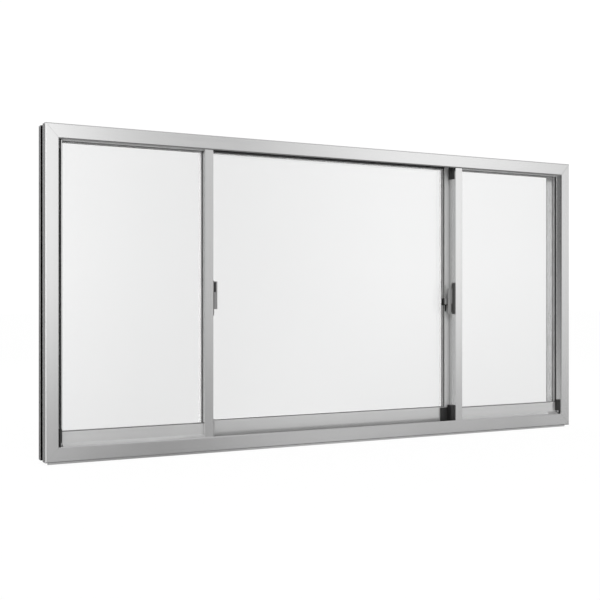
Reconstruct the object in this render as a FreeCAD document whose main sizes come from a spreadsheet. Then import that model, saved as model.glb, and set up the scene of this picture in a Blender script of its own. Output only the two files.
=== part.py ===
import FreeCAD, Part
import Sketcher
import os

# Horizontal sliding window, three lites, seen closed.
# The room side looks along -Y, +Z is up, X runs along the width.
# The origin is the bottom centre, on the plane that the sill's two legs stand on.
# A profile is drawn in two lengths: the depth behind the room face, and the
# distance in from the outer edge of the frame or of the sash.

doc = FreeCAD.newDocument("sliding_window")
sheet = doc.addObject("Spreadsheet::Sheet", "Sizes")

SIZES = [
    # Whole window.
    ("width", 1829.0, "outer width of the frame"),
    ("height", 914.0, "outer height of the frame, without the legs"),
    ("vent_reach", 485.0, "from the frame's end to the far edge of a sliding sash"),
    ("meeting_overlap", 16.5, "how far a sliding sash lies over the fixed lite"),
    # Frame extrusions.
    ("wall", 2.0, "wall of every extrusion"),
    ("flange_width", 41.5, "width of the faces of the head and the sill"),
    ("jamb_flange_width", 38.0, "width of the faces of the jambs"),
    ("flange_thickness", 3.5, "thickness of the frame's faces"),
    ("flange_chamfer", 3.2, "chamfer on the inner edge of the faces"),
    ("outer_edge", 2.9, "chamfer on the outer edge of the faces"),
    ("room_half_depth", 34.0, "depth of the extrusion on the room side"),
    ("weather_half_depth", 26.0, "depth of the extrusion on the weather side"),
    ("floor", 16.0, "height of the hollow chamber round the frame"),
    ("groove_width", 4.0, "width of the groove round the outside of an extrusion"),
    ("groove_depth", 3.0, "depth of that groove"),
    ("groove_setback", 14.0, "from a face of the frame to that groove"),
    ("claw_wall", 4.5, "wall that grips the thermal break"),
    ("claw_depth", 2.0, "depth of the groove for the thermal break"),
    ("claw_low", 9.5, "start of the mouth of that groove"),
    ("claw_high", 13.0, "end of the mouth of that groove"),
    ("claw_flare", 0.6, "how much the groove widens inside"),
    ("claw_gap", 0.1, "clearance of the thermal break in its groove"),
    ("rib_height", 8.0, "height of the track rib over the floor"),
    ("rib_thickness", 2.5, "thickness of the track rib"),
    ("divider_thickness", 2.5, "thickness of the fin between the two tracks"),
    ("divider_height", 10.0, "height of that fin over the floor"),
    ("leg", 7.0, "height of the legs under the sill"),
    ("leg_thickness", 2.0, "thickness of the legs"),
    ("leg_inset", 9.0, "from the end of the sill to the end of the legs"),
    ("screw_radius", 2.6, "radius of the holes for installation screws"),
    ("screw_spacing", 600.0, "between the two screw holes of a jamb"),
    ("screw_setback", 9.0, "from the weather face to the screw holes"),
    ("weep_length", 30.0, "length of a drain slot"),
    ("weep_height", 4.0, "height of a drain slot"),
    ("weep_lift", 4.0, "from the bottom of the sill to a drain slot"),
    ("weep_spacing", 600.0, "between two drain slots"),
    # Sash extrusions.
    ("face_gap", 0.8, "between a face of the frame and the sash behind it"),
    ("edge_gap", 3.0, "between the floor of the frame and a sliding sash"),
    ("track_gap", 6.4, "between the sliding sashes and the fixed lite"),
    ("face_step", 9.2, "how far the rails' faces lie behind the meeting stiles' faces"),
    ("splay", 7.0, "width of the sloped band that leads back to those faces"),
    ("top_step", 17.0, "from a sliding sash's top edge to the slope of its top rail"),
    ("thin_leg", 3.3, "thickness of the leg before the glass where it is solid"),
    ("rear_leg", 3.1, "thickness of a sliding sash's leg behind the glass"),
    ("lite_rear_leg", 12.3, "depth of the fixed lite's hollow leg behind the glass"),
    ("step_gap", 0.5, "from the edge of the frame's face to the step behind it"),
    ("glazing_pocket", 12.0, "depth of the groove that holds the glass"),
    ("sight_chamfer", 1.2, "chamfer on the sash's edge at the glass"),
    ("jamb_stile_width", 29.4, "width of a sliding sash's stile at the jamb"),
    ("meeting_stile_width", 27.0, "width of a sliding sash's meeting stile"),
    ("lite_stile_width", 31.5, "width of a stile of the fixed lite"),
    ("bottom_rail_height", 61.5, "height of a sliding sash's bottom rail"),
    ("top_rail_height", 26.0, "height of a sliding sash's top rail"),
    ("roller_channel", 20.0, "depth of the channel under a bottom rail"),
    ("guide_channel", 7.0, "depth of the channel over a top rail"),
    ("lite_bottom_height", 67.0, "height of the fixed lite's bottom rail"),
    ("lite_top_height", 24.0, "height of the fixed lite's top rail"),
    ("lite_gap", 0.3, "between the head and the fixed lite"),
    ("hook_wall", 1.4, "wall of the interlocking hooks"),
    ("hook_gap", 1.6, "between a hook and the stile it faces"),
    ("hook_inset", 2.0, "from the edge of a stile to its hook"),
    ("hook_lap", 1.5, "how far each hook reaches past the middle"),
    ("notch_gap", 1.0, "clearance round the ribs and fins of the frame"),
    # Glazing.
    ("pane", 3.0, "thickness of one sheet of glass"),
    ("air_space", 10.0, "between the two sheets of glass"),
    ("glass_bite", 9.5, "how deep the glass sits in its groove"),
    ("gasket", 1.2, "thickness of a glazing gasket"),
    ("gasket_bite", 6.0, "how deep a gasket sits in the groove"),
    ("gasket_show", 1.0, "how far a gasket shows at the glass"),
    ("spacer_height", 10.0, "height of the spacer between the sheets"),
    ("spacer_show", 1.0, "how far the spacer shows past the sash"),
    # Rollers.
    ("wheel_radius", 7.0, "radius of a roller's rims"),
    ("wheel_groove", 5.5, "radius at the bottom of a roller's groove"),
    ("wheel_width", 6.0, "width of a roller"),
    ("wheel_clearance", 0.3, "between a roller and the rib, and at its sides"),
    ("axle_radius", 2.0, "radius of a roller's axle"),
    ("carrier_length", 44.0, "length of a roller's carrier"),
    ("carrier_width", 16.0, "width of a roller's carrier"),
    ("carrier_lift", 2.0, "from the top of the rib to a carrier"),
    ("carrier_inset", 60.0, "from the end of a rail to its roller"),
    # Latches and keepers.
    ("latch_height", 104.0, "height of a latch's base"),
    ("latch_level", 443.0, "middle of the latches over the frame's bottom edge"),
    ("latch_reach", 3.2, "how far a latch's base stands off the stile"),
    ("latch_setback", 1.5, "from the sash's face to a latch's base"),
    ("latch_depth", 17.0, "depth of a latch's base"),
    ("latch_edge", 2.5, "chamfer on a latch's base"),
    ("grip_height", 81.0, "height of a latch's finger grip"),
    ("grip_reach", 15.8, "how far a grip stands off its base"),
    ("grip_thickness", 3.0, "thickness of a grip at its tip"),
    ("grip_root", 4.5, "thickness of a grip at its root"),
    ("grip_shift", 8.5, "from the middle of a latch to the middle of its grip"),
    ("grip_slot_height", 29.0, "height of the slot at the root of a grip"),
    ("grip_slot_width", 4.5, "width of that slot"),
    ("grip_slot_inset", 2.5, "from the end of a grip to its slot"),
    ("keeper_height", 86.0, "height of a keeper's plate"),
    ("keeper_width", 4.5, "width of a keeper's plate"),
    ("keeper_thickness", 1.6, "thickness of a keeper's plate"),
    ("knob_height", 23.0, "height of a keeper's knob"),
    ("knob_reach", 14.0, "how far the right knob reaches past the stile's edge"),
    ("short_knob_reach", 5.0, "how far the left knob reaches past the stile's edge"),
    ("knob_depth", 9.0, "depth of a knob"),
    ("knob_shift", 11.5, "from the middle of a latch down to the knob"),
    # End blocks of the sashes.
    ("block_height", 58.0, "height of the weather blocks at the top"),
    ("block_wall", 4.0, "how far a weather block stands off its meeting stile"),
    ("block_setback", 11.0, "from the sash's face back to the blocks at top and foot"),
    ("heel_height", 50.0, "height of the blocks at the foot of the meeting stiles"),
    ("heel_lift", 21.0, "from the foot of a sliding sash to those blocks"),
    ("heel_wall", 9.0, "how far those blocks stand off their meeting stiles"),
    ("foot_height", 54.0, "height of the dust block before the fixed lite"),
    ("foot_lift", 1.0, "from the frame's fin to that block"),
    ("foot_reach", 33.0, "how far that block reaches past the meeting stile"),
    ("foot_radius", 9.0, "chamfer of that block's lower corner"),
    ("corner_inset", 1.0, "from the start of a jamb stile's slope to the block on it"),
    ("corner_reach", 15.0, "from the start of the slope to the right block's far side"),
    ("short_corner_reach", 6.5, "from the start of the slope to the left block's far side"),
    ("corner_height", 37.0, "height of a corner block"),
    ("corner_lift", 52.0, "from the frame's bottom edge to a corner block"),
    ("corner_thickness", 12.5, "from a corner block's front to the face its back rests on"),
    ("pin_length", 10.0, "length of the small pin under a corner block"),
    ("pin_reach", 3.5, "from the start of the slope to the pin's far side"),
]


class Size:
    """A length together with the sheet expression that gives it."""

    def __init__(self, value, text):
        self.value = value
        self.text = text

    @staticmethod
    def of(thing):
        """Wrap a plain number, and pass a size through."""
        return thing if isinstance(thing, Size) else Size(float(thing), repr(float(thing)))

    def __add__(self, other):
        other = Size.of(other)
        return Size(self.value + other.value, f"({self.text} + {other.text})")

    def __sub__(self, other):
        other = Size.of(other)
        return Size(self.value - other.value, f"({self.text} - {other.text})")

    def __mul__(self, other):
        other = Size.of(other)
        return Size(self.value * other.value, f"({self.text} * {other.text})")

    def __truediv__(self, other):
        other = Size.of(other)
        return Size(self.value / other.value, f"({self.text} / {other.text})")

    def __neg__(self):
        return Size(-self.value, f"(0 - {self.text})")

    def __radd__(self, other):
        return Size.of(other) + self

    def __rsub__(self, other):
        return Size.of(other) - self

    def __rmul__(self, other):
        return Size.of(other) * self


size = {}
for row, (alias, number, meaning) in enumerate(SIZES, start=1):
    sheet.set(f"A{row}", meaning)
    sheet.set(f"B{row}", str(number))
    sheet.setAlias(f"B{row}", alias)
    size[alias] = Size(number, f"Sizes.{alias}")
doc.recompute()


class Values:
    """The sizes as attributes, so that a formula reads as plain words."""

    def __init__(self, table):
        self.__dict__.update(table)


v = Values(size)
ZERO = Size(0.0, "0")

# Places that several pieces share.
half_width = v.width / 2
front_leg = v.face_step + v.thin_leg
unit = v.pane * 2 + v.air_space
sash_depth = front_leg + v.gasket * 2 + unit + v.rear_leg
lite_depth = v.thin_leg + v.gasket * 2 + unit + v.lite_rear_leg
sash_face = v.flange_thickness + v.face_gap
depth = sash_face * 2 + sash_depth + v.track_gap + lite_depth
room_face = -depth / 2
bottom = v.leg
top = v.leg + v.height
middle = v.leg + v.height / 2
sash_edge = v.floor + v.edge_gap
lite_face = sash_face + sash_depth + v.track_gap
rib_middle = sash_face + sash_depth / 2
rib_near = rib_middle - v.rib_thickness / 2
rib_far = rib_middle + v.rib_thickness / 2
rib_top = v.floor + v.rib_height
fin_near = lite_face - v.track_gap / 2 - v.divider_thickness / 2
fin_far = fin_near + v.divider_thickness
fin_top = v.floor + v.divider_height
hook_length = v.meeting_overlap / 2 - v.hook_inset + v.hook_lap
hook_rise = v.track_gap - v.hook_gap
groove_end = v.groove_setback + v.groove_width
leg_start = v.groove_setback + (v.groove_width - v.leg_thickness) / 2
latch_middle = v.leg + v.latch_level

sub_parts = []


def new_body(name, several=False):
    """Start a named sub-part; several solids are allowed only where they stand apart."""
    body = doc.addObject("PartDesign::Body", name)
    body.Label = name
    body.AllowCompound = several
    sub_parts.append(body)
    return body


def base_plane(body, role):
    """Find one of the body's own three planes."""
    return next(plane for plane in body.Origin.OriginFeatures if plane.Role == role)


def new_sketch(body, name, role, offset=ZERO):
    """Put a sketch on one of the body's planes, moved along that plane's normal."""
    sketch = body.newObject("Sketcher::SketchObject", name)
    sketch.AttachmentSupport = [(base_plane(body, role), "")]
    sketch.MapMode = "FlatFace"
    shift = FreeCAD.Vector(0, 0, offset.value)
    sketch.AttachmentOffset = FreeCAD.Placement(shift, FreeCAD.Rotation())
    sketch.setExpression("AttachmentOffset.Base.z", offset.text)
    return sketch


def place_point(sketch, geometry, which, point):
    """Tie one point of the sketch to its two sizes, measured from the origin."""
    for kind, length in zip(("DistanceX", "DistanceY"), point):
        length = Size.of(length)
        index = sketch.addConstraint(
            Sketcher.Constraint(kind, -1, 1, geometry, which, length.value))
        sketch.setExpression(f"Constraints[{index}]", length.text)


def draw_outline(sketch, points):
    """Draw a closed outline of straight lines through the points."""
    first = sketch.GeometryCount
    count = len(points)
    corners = [FreeCAD.Vector(Size.of(x).value, Size.of(y).value, 0) for x, y in points]
    sketch.addGeometry(
        [Part.LineSegment(corners[i], corners[(i + 1) % count]) for i in range(count)])
    sketch.addConstraint(
        [Sketcher.Constraint("Coincident", first + i, 2, first + (i + 1) % count, 1)
         for i in range(count)])
    for i, point in enumerate(points):
        place_point(sketch, first + i, 1, point)


def draw_circle(sketch, centre, radius):
    """Draw a circle with its centre and radius tied to sizes."""
    index = sketch.GeometryCount
    spot = FreeCAD.Vector(centre[0].value, centre[1].value, 0)
    sketch.addGeometry(Part.Circle(spot, FreeCAD.Vector(0, 0, 1), radius.value))
    place_point(sketch, index, 3, centre)
    bound = sketch.addConstraint(Sketcher.Constraint("Radius", index, radius.value))
    sketch.setExpression(f"Constraints[{bound}]", radius.text)


def rectangle(x0, y0, x1, y1):
    """The four corners of an upright rectangle."""
    return [(x0, y0), (x1, y0), (x1, y1), (x0, y1)]


def add_pad(body, name, sketch, length, symmetric=False, backwards=False):
    """Extrude a sketch into material."""
    doc.recompute()
    pad = body.newObject("PartDesign::Pad", name)
    pad.Profile = sketch
    pad.SideType = "Symmetric" if symmetric else "One side"
    pad.Reversed = backwards
    pad.Length = length.value
    pad.setExpression("Length", length.text)
    body.Tip = pad
    return pad


def add_pocket(body, name, sketch, length=None, backwards=False):
    """Cut a sketch out of the body, both ways through all of it unless a length is given."""
    doc.recompute()
    pocket = body.newObject("PartDesign::Pocket", name)
    pocket.Profile = sketch
    if length is None:
        pocket.Type = "ThroughAll"
        pocket.SideType = "Symmetric"
    else:
        pocket.Reversed = backwards
        pocket.Length = length.value
        pocket.setExpression("Length", length.text)
    body.Tip = pocket
    return pocket


def slab(body, name, outlines, front, thickness):
    """Add a flat piece that faces the room, from its front plane back into the depth."""
    sketch = new_sketch(body, name + "_outline", "XZ_Plane", -front)
    for points in outlines:
        draw_outline(sketch, points)
    return add_pad(body, name, sketch, thickness, backwards=True)


# Frame: two hollow extrusions round all four sides, joined by a plastic thermal break.
# Every side runs to a mitre; the head's and sill's faces are a little wider than the jambs'.

def frame_point(side, deep, inward):
    """Turn a profile's depth and inward distance into the sketch's two lengths."""
    along_y = room_face + deep
    if side == "sill":
        return (along_y, bottom + inward)
    if side == "head":
        return (along_y, top - inward)
    if side == "left_jamb":
        return (inward - half_width, along_y)
    return (half_width - inward, along_y)


def half_profile(face, back, flange):
    """Outline and chamber of one frame extrusion, from its face to its claw.

    The depth of any point is counted from the face towards the break, so that the
    same outline serves the room half and, turned round, the weather half.
    """
    claw = back - v.claw_depth
    outline = [
        (v.outer_edge, ZERO),
        (v.groove_setback, ZERO),
        (v.groove_setback, v.groove_depth),
        (groove_end, v.groove_depth),
        (groove_end, ZERO),
        (back, ZERO),
        (back, v.claw_low),
        (claw, v.claw_low - v.claw_flare),
        (claw, v.claw_high + v.claw_flare),
        (back, v.claw_high),
        (back, v.floor),
        (v.flange_thickness, v.floor),
        (v.flange_thickness, flange),
        (v.flange_chamfer, flange),
        (ZERO, flange - v.flange_chamfer),
        (ZERO, v.outer_edge),
    ]
    low = v.groove_depth + v.wall
    chamber = [
        (v.flange_thickness, v.wall),
        (v.groove_setback - v.wall, v.wall),
        (v.groove_setback - v.wall, low),
        (back - v.claw_wall, low),
        (back - v.claw_wall, v.floor - v.wall),
        (v.flange_thickness, v.floor - v.wall),
    ]
    if face == "room":
        chamber[3:4] = [
            (groove_end + v.wall, low),
            (groove_end + v.wall, v.wall),
            (back - v.claw_wall, v.wall),
        ]
    if face == "weather":
        return [[(depth - deep, inward) for deep, inward in points]
                for points in (outline, chamber)]
    return [outline, chamber]


def break_profile(with_divider):
    """Outline of the thermal break, a flat bar with flared feet and perhaps a fin."""
    start = v.room_half_depth
    end = depth - v.weather_half_depth
    foot = v.claw_depth - v.claw_gap
    low = v.claw_low + v.claw_gap
    high = v.claw_high - v.claw_gap
    flare = v.claw_flare
    outline = [
        (start - foot, low - flare),
        (start, low),
        (end, low),
        (end + foot, low - flare),
        (end + foot, high + flare),
        (end, high),
    ]
    if with_divider:
        outline += [(fin_far, high), (fin_far, fin_top), (fin_near, fin_top), (fin_near, high)]
    outline += [(start, high), (start - foot, high + flare)]
    return [outline]


def mitre(body, side):
    """Cut both ends of a frame side along the line from the outer to the inner corner."""
    across = v.jamb_flange_width * 2
    reach = v.flange_width * 2
    sketch = new_sketch(body, body.Label + "_mitre", "XZ_Plane")
    for end in (-1, 1):
        corner_x = half_width * end
        inner_x = corner_x - across * end
        if side in ("sill", "head"):
            edge = bottom if side == "sill" else top
            inner_z = edge + reach if side == "sill" else edge - reach
            draw_outline(sketch, [(corner_x, edge), (inner_x, inner_z), (corner_x, inner_z)])
        else:
            side_x = -half_width if side == "left_jamb" else half_width
            deep_x = side_x + across if side == "left_jamb" else side_x - across
            edge = bottom if end < 0 else top
            inner_z = edge + reach if end < 0 else edge - reach
            draw_outline(sketch, [(side_x, edge), (deep_x, inner_z), (deep_x, edge)])
    add_pocket(body, body.Label + "_mitre_cut", sketch)


def frame_bar(name, side, outlines):
    """Extrude one profile along one side of the frame and mitre it."""
    body = new_body(name)
    upright = side.endswith("jamb")
    if upright:
        sketch = new_sketch(body, name + "_profile", "XY_Plane", bottom)
    else:
        sketch = new_sketch(body, name + "_profile", "YZ_Plane")
    for points in outlines:
        draw_outline(sketch, [frame_point(side, deep, inward) for deep, inward in points])
    length = v.height if upright else v.width
    add_pad(body, name + "_bar", sketch, length, symmetric=not upright)
    mitre(body, side)
    return body


def add_rib(body, side):
    """Stand a thin rib on the frame's floor, for the sliding sashes to run on."""
    sketch = new_sketch(body, body.Label + "_rib_profile", "YZ_Plane")
    corners = rectangle(rib_near, v.floor - v.wall / 2, rib_far, rib_top)
    draw_outline(sketch, [frame_point(side, deep, inward) for deep, inward in corners])
    add_pad(body, body.Label + "_rib", sketch, v.width - rib_top * 2, symmetric=True)


def add_leg(body, start):
    """Stand the sill on a leg that stops short of both ends."""
    sketch = new_sketch(body, body.Label + "_leg_profile", "YZ_Plane")
    corners = rectangle(start, -v.leg, start + v.leg_thickness, v.groove_depth + v.wall / 2)
    draw_outline(sketch, [frame_point("sill", deep, inward) for deep, inward in corners])
    add_pad(body, body.Label + "_leg", sketch, v.width - v.leg_inset * 2, symmetric=True)


def add_screw_holes(body, side):
    """Drill a jamb for the two screws that hold the window in its opening."""
    inner = half_width - v.floor
    offset = -inner if side == "left_jamb" else inner
    sketch = new_sketch(body, body.Label + "_screw_centres", "YZ_Plane", offset)
    along_y = room_face + depth - v.screw_setback
    for end in (-1, 1):
        level = middle + v.screw_spacing / 2 * end
        draw_circle(sketch, (along_y, level), v.screw_radius)
    add_pocket(body, body.Label + "_screw_holes", sketch, v.floor,
               backwards=side == "right_jamb")


def add_weep_slots(body):
    """Cut the drain slots through the weather side of the sill's chamber."""
    sketch = new_sketch(body, body.Label + "_weep_outline", "XZ_Plane",
                        -(room_face + depth))
    low = bottom + v.weep_lift
    for place in (-1, 0, 1):
        centre = v.weep_spacing * place
        half = v.weep_length / 2
        draw_outline(sketch, rectangle(centre - half, low, centre + half, low + v.weep_height))
    add_pocket(body, body.Label + "_weep_slots", sketch, v.wall * 2, backwards=False)


for side in ("head", "sill", "left_jamb", "right_jamb"):
    level_side = side in ("head", "sill")
    flange = v.flange_width if level_side else v.jamb_flange_width
    room_half = frame_bar("frame_" + side + "_room_side", side,
                          half_profile("room", v.room_half_depth, flange))
    if level_side:
        add_rib(room_half, side)
    weather_half = frame_bar("frame_" + side + "_weather_side", side,
                             half_profile("weather", v.weather_half_depth, flange))
    frame_bar("frame_" + side + "_thermal_break", side, break_profile(level_side))
    if side == "sill":
        add_leg(room_half, leg_start)
        add_leg(weather_half, depth - leg_start - v.leg_thickness)
        add_weep_slots(weather_half)
    if not level_side:
        add_screw_holes(weather_half, side)


# Sashes: hollow rails and stiles with a groove for the glass.
# The depth is counted from the sash's own face, the height from its outer edge.

def sash_profile(size_across, before, behind, channel=None, hook=None, step=None,
                 chamber=True):
    """Outline and hollows of a rail or stile with legs before and behind the glass.

    At a step a slope leads back from the edge that the frame hides to the visible
    face. A channel runs under the outer edge, and a hook interlocks two meeting stiles.
    """
    end = before + v.gasket * 2 + unit + behind
    pocket = size_across - v.glazing_pocket
    outline = [(ZERO, ZERO)]
    if channel is not None:
        outline += [
            (v.wall, ZERO),
            (v.wall, channel),
            (end - v.wall, channel),
            (end - v.wall, ZERO),
        ]
    outline.append((end, ZERO))
    if hook == "behind":
        outline += hook_outline(end, 1)
    outline += [
        (end, size_across),
        (end - behind, size_across),
        (end - behind, pocket),
        (before, pocket),
        (before, size_across),
    ]
    face = ZERO if step is None else v.face_step
    outline += [(face + v.sight_chamfer, size_across), (face, size_across - v.sight_chamfer)]
    if step is not None:
        outline += [(face, step + v.splay), (ZERO, step)]
    if hook == "before":
        outline += hook_outline(ZERO, -1)[::-1]
    hollows = []
    leg_end = size_across if step is None else step + v.wall / 2
    if before.value > v.thin_leg.value and leg_end.value > (pocket + v.wall * 2).value:
        hollows.append(rectangle(v.wall, pocket, before - v.wall, leg_end - v.wall))
    if behind.value > v.lite_rear_leg.value / 2:
        hollows.append(rectangle(end - behind + v.wall, pocket, end - v.wall,
                                 size_across - v.wall))
    if chamber:
        start = v.wall if channel is None else channel + v.wall
        near = v.wall
        if step is not None and pocket.value > (step + v.splay).value:
            near = v.face_step + v.wall
        hollows.append(rectangle(near, start, end - v.wall, pocket - v.wall))
    return [outline] + hollows


def hook_outline(face, away):
    """Six points of a hook that stands off a stile's face and turns towards the glass."""
    rise = hook_rise * away
    lip = (hook_rise - v.hook_wall) * away
    start = v.hook_inset
    return [
        (face, start),
        (face + rise, start),
        (face + rise, start + hook_length),
        (face + lip, start + hook_length),
        (face + lip, start + v.hook_wall),
        (face, start + v.hook_wall),
    ]


def rail(name, outlines, face, left, right, base, upward):
    """Extrude a profile into a level rail between two places along the width."""
    body = new_body(name)
    sketch = new_sketch(body, name + "_profile", "YZ_Plane", left)
    for points in outlines:
        draw_outline(sketch, [(room_face + face + deep, base + across * upward)
                              for deep, across in points])
    add_pad(body, name + "_bar", sketch, right - left)
    return body


def stile(name, outlines, face, low, high, base, rightward):
    """Extrude a profile into an upright stile between two heights."""
    body = new_body(name)
    sketch = new_sketch(body, name + "_profile", "XY_Plane", low)
    for points in outlines:
        draw_outline(sketch, [(base + across * rightward, room_face + face + deep)
                              for deep, across in points])
    add_pad(body, name + "_bar", sketch, high - low)
    return body


def notch_ends(body, near, far, crest):
    """Cut both ends of an upright piece clear of a rib or fin on the frame's floor."""
    sketch = new_sketch(body, f"{body.Label}_notch_outline_{len(body.Group)}", "YZ_Plane")
    reach = crest + v.notch_gap
    front = room_face + near - v.notch_gap
    back = room_face + far + v.notch_gap
    draw_outline(sketch, rectangle(front, bottom, back, bottom + reach))
    draw_outline(sketch, rectangle(front, top - reach, back, top))
    add_pocket(body, f"{body.Label}_notch_{len(body.Group)}", sketch)


def glazing(name, face, before, sight_left, sight_right, sight_low, sight_high):
    """Two sheets of glass with their spacer, between two rings of gasket."""
    front = room_face + face + before + v.gasket

    def ring(grow):
        return rectangle(sight_left - grow, sight_low - grow,
                         sight_right + grow, sight_high + grow)

    sheets = new_body(name + "_glass", several=True)
    slab(sheets, name + "_room_sheet", [ring(v.glass_bite)], front, v.pane)
    slab(sheets, name + "_weather_sheet", [ring(v.glass_bite)],
         front + v.pane + v.air_space, v.pane)
    spacer = new_body(name + "_spacer")
    slab(spacer, name + "_spacer_bar",
         [ring(v.spacer_height - v.spacer_show), ring(-v.spacer_show)],
         front + v.pane, v.air_space)
    seals = new_body(name + "_gasket", several=True)
    band = [ring(v.gasket_bite), ring(-v.gasket_show)]
    slab(seals, name + "_room_gasket", band, front - v.gasket, v.gasket)
    slab(seals, name + "_weather_gasket", band, front + unit, v.gasket)


sash_low = bottom + sash_edge
sash_high = top - sash_edge
for hand, sign in (("left", -1), ("right", 1)):
    # The sash runs from its jamb edge to its meeting edge; sign points to its jamb.
    sash = hand + "_sash"
    jamb_edge = (half_width - sash_edge) * sign
    meeting_edge = (half_width - v.vent_reach) * sign
    jamb_sight = jamb_edge - v.jamb_stile_width * sign
    meeting_sight = meeting_edge + v.meeting_stile_width * sign
    sight = (jamb_sight, meeting_sight) if sign < 0 else (meeting_sight, jamb_sight)
    sight_low = sash_low + v.bottom_rail_height
    sight_high = sash_high - v.top_rail_height
    rail(sash + "_bottom_rail",
         sash_profile(v.bottom_rail_height, front_leg, v.rear_leg, channel=v.roller_channel,
                      step=v.flange_width + v.step_gap - sash_edge),
         sash_face, sight[0], sight[1], sash_low, 1)
    rail(sash + "_top_rail",
         sash_profile(v.top_rail_height, front_leg, v.rear_leg, channel=v.guide_channel,
                      step=v.top_step, chamber=False),
         sash_face, sight[0], sight[1], sash_high, -1)
    jamb_stile = stile(sash + "_jamb_stile",
                       sash_profile(v.jamb_stile_width, front_leg, v.rear_leg,
                                    step=v.jamb_flange_width + v.step_gap - sash_edge),
                       sash_face, sash_low, sash_high, jamb_edge, -sign)
    meeting_stile = stile(sash + "_meeting_stile",
                          sash_profile(v.meeting_stile_width, front_leg, v.rear_leg,
                                       hook="behind"),
                          sash_face, sash_low, sash_high, meeting_edge, sign)
    for upright in (jamb_stile, meeting_stile):
        notch_ends(upright, rib_near, rib_far, rib_top)
    notch_ends(meeting_stile, fin_near, fin_far, fin_top)
    glazing(sash, sash_face, front_leg, sight[0], sight[1], sight_low, sight_high)

lite_half = half_width - v.vent_reach + v.meeting_overlap
lite_low = bottom + v.floor
lite_high = top - v.floor - v.lite_gap
lite_sight = lite_half - v.lite_stile_width
lite_sight_low = lite_low + v.lite_bottom_height
lite_sight_high = lite_high - v.lite_top_height
rail("fixed_lite_bottom_rail",
     sash_profile(v.lite_bottom_height, v.thin_leg, v.lite_rear_leg),
     lite_face, -lite_sight, lite_sight, lite_low, 1)
rail("fixed_lite_top_rail",
     sash_profile(v.lite_top_height, v.thin_leg, v.lite_rear_leg),
     lite_face, -lite_sight, lite_sight, lite_high, -1)
for hand, sign in (("left", -1), ("right", 1)):
    lite_stile = stile(f"fixed_lite_{hand}_stile",
                       sash_profile(v.lite_stile_width, v.thin_leg, v.lite_rear_leg,
                                    hook="before"),
                       lite_face, lite_low, lite_high, lite_half * sign, -sign)
    notch_ends(lite_stile, fin_near, fin_far, fin_top)
glazing("fixed_lite", lite_face, v.thin_leg, -lite_sight, lite_sight,
        lite_sight_low, lite_sight_high)


# Rollers: a grooved wheel on each end of the sliding sashes' bottom rails, in a carrier.

axle_level = bottom + rib_top + v.wheel_clearance + v.wheel_groove
channel_top = sash_low + v.roller_channel
rib_y = room_face + rib_middle


def roller_places(sign):
    """Where the two rollers of one sash stand along the width."""
    near = (half_width - sash_edge - v.jamb_stile_width - v.carrier_inset) * sign
    far = (half_width - v.vent_reach + v.meeting_stile_width + v.carrier_inset) * sign
    return (near, far)


def add_wheel(body, name, place):
    """Revolve one grooved wheel with its axle about the axle's line."""
    sketch = new_sketch(body, name + "_section", "YZ_Plane", place)
    half = v.wheel_width / 2
    groove = v.rib_thickness / 2 + v.wheel_clearance
    reach = v.carrier_width / 2
    section = [
        (-reach, ZERO), (reach, ZERO), (reach, v.axle_radius), (half, v.axle_radius),
        (half, v.wheel_radius), (groove, v.wheel_radius), (groove, v.wheel_groove),
        (-groove, v.wheel_groove), (-groove, v.wheel_radius), (-half, v.wheel_radius),
        (-half, v.axle_radius), (-reach, v.axle_radius),
    ]
    draw_outline(sketch, [(rib_y + across, axle_level + out) for across, out in section])
    doc.recompute()
    turn = body.newObject("PartDesign::Revolution", name)
    turn.Profile = sketch
    turn.ReferenceAxis = (sketch, ["Edge1"])
    turn.Angle = 360.0
    body.Tip = turn


def add_carrier(body, name, place):
    """A block that fills the channel's top, with a slot for the wheel and its axle hole."""
    half = v.carrier_length / 2
    base = bottom + rib_top + v.carrier_lift
    slab(body, name + "_block", [rectangle(place - half, base, place + half, channel_top)],
         rib_y - v.carrier_width / 2, v.carrier_width)
    slot = new_sketch(body, name + "_slot_outline", "XZ_Plane",
                      -(rib_y - v.wheel_width / 2 - v.wheel_clearance))
    room = v.wheel_radius + v.wheel_clearance
    draw_outline(slot, rectangle(place - room, base, place + room, axle_level + room))
    add_pocket(body, name + "_slot", slot, v.wheel_width + v.wheel_clearance * 2,
               backwards=False)
    bore = new_sketch(body, name + "_bore_outline", "XZ_Plane",
                      -(rib_y - v.carrier_width / 2))
    draw_circle(bore, (place, axle_level), v.axle_radius + v.claw_gap)
    add_pocket(body, name + "_bore", bore, v.carrier_width, backwards=False)


for hand, sign in (("left", -1), ("right", 1)):
    wheels = new_body(hand + "_sash_rollers", several=True)
    carriers = new_body(hand + "_sash_roller_carriers", several=True)
    for number, place in enumerate(roller_places(sign), start=1):
        add_wheel(wheels, f"{hand}_wheel_{number}", place)
        add_carrier(carriers, f"{hand}_carrier_{number}", place)


# Latches: a base with a finger grip on each meeting stile, and a keeper on the fixed lite.
# The right latch is the left one turned end for end, so its grip sits lower.

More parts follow.
